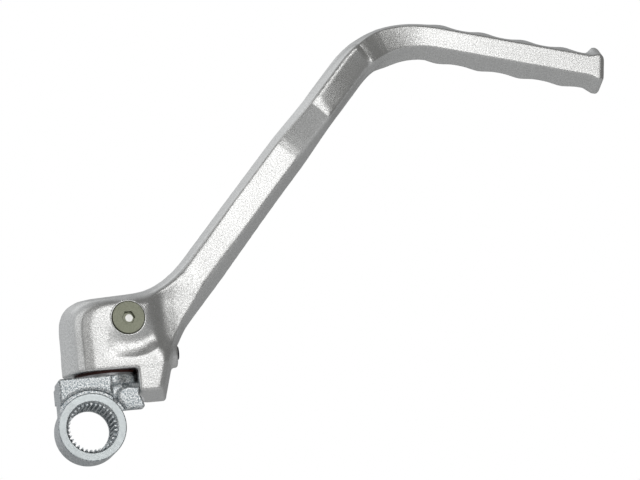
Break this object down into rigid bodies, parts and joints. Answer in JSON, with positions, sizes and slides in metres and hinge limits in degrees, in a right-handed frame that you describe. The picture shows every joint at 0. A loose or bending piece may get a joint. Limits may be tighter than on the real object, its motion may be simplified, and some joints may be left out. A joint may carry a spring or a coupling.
{
  "type": "kick start lever",
  "caption": "Folding kick start lever: bead-blasted forged arm with a bumped tread, on a plated steel knuckle with a splined hub.",
  "frame": {"origin": "middle of the spline's length, on the spline axis", "axes": "Y is the spline axis and -Y faces the engine, +Z is along the fold axis towards the housing, +X is the side the tread points to"},
  "size_m": [0.2444, 0.03, 0.1718],
  "materials": {
    "blasted_aluminium": "bead blasted satin",
    "plated_steel": "bright zinc plated, as cast",
    "washer_steel": "ground",
    "seal_rubber": "matt",
    "screw_steel": "dull plated",
    "ball_steel": "polished",
    "spring_steel": "drawn wire",
    "black_steel": "black oxide"
  },
  "bodies": {
    "knuckle_body": {"knuckle": "plated_steel", "thrust_washer": "washer_steel"},
    "arm_body": {"kick_arm": "blasted_aluminium", "pivot_seal": "seal_rubber", "retaining_screw": "screw_steel", "detent_spring": "spring_steel", "detent_plug": "black_steel"},
    "ball_body": {"detent_ball": "ball_steel"}
  },
  "joints": [
    {"name": "arm_fold", "type": "hinge", "parent": "knuckle_body", "child": "arm_body", "pos_m": [0.009, 0.0055, 0.035], "axis": [0, 0, 1], "range_deg": [0, 100]},
    {"name": "ball_travel", "type": "slide", "parent": "arm_body", "child": "ball_body", "axis": [-1, 0, 0], "range_m": [0, 0.0008], "stiffness_N_per_m": 4000, "deforming": ["detent_spring"]}
  ]
}
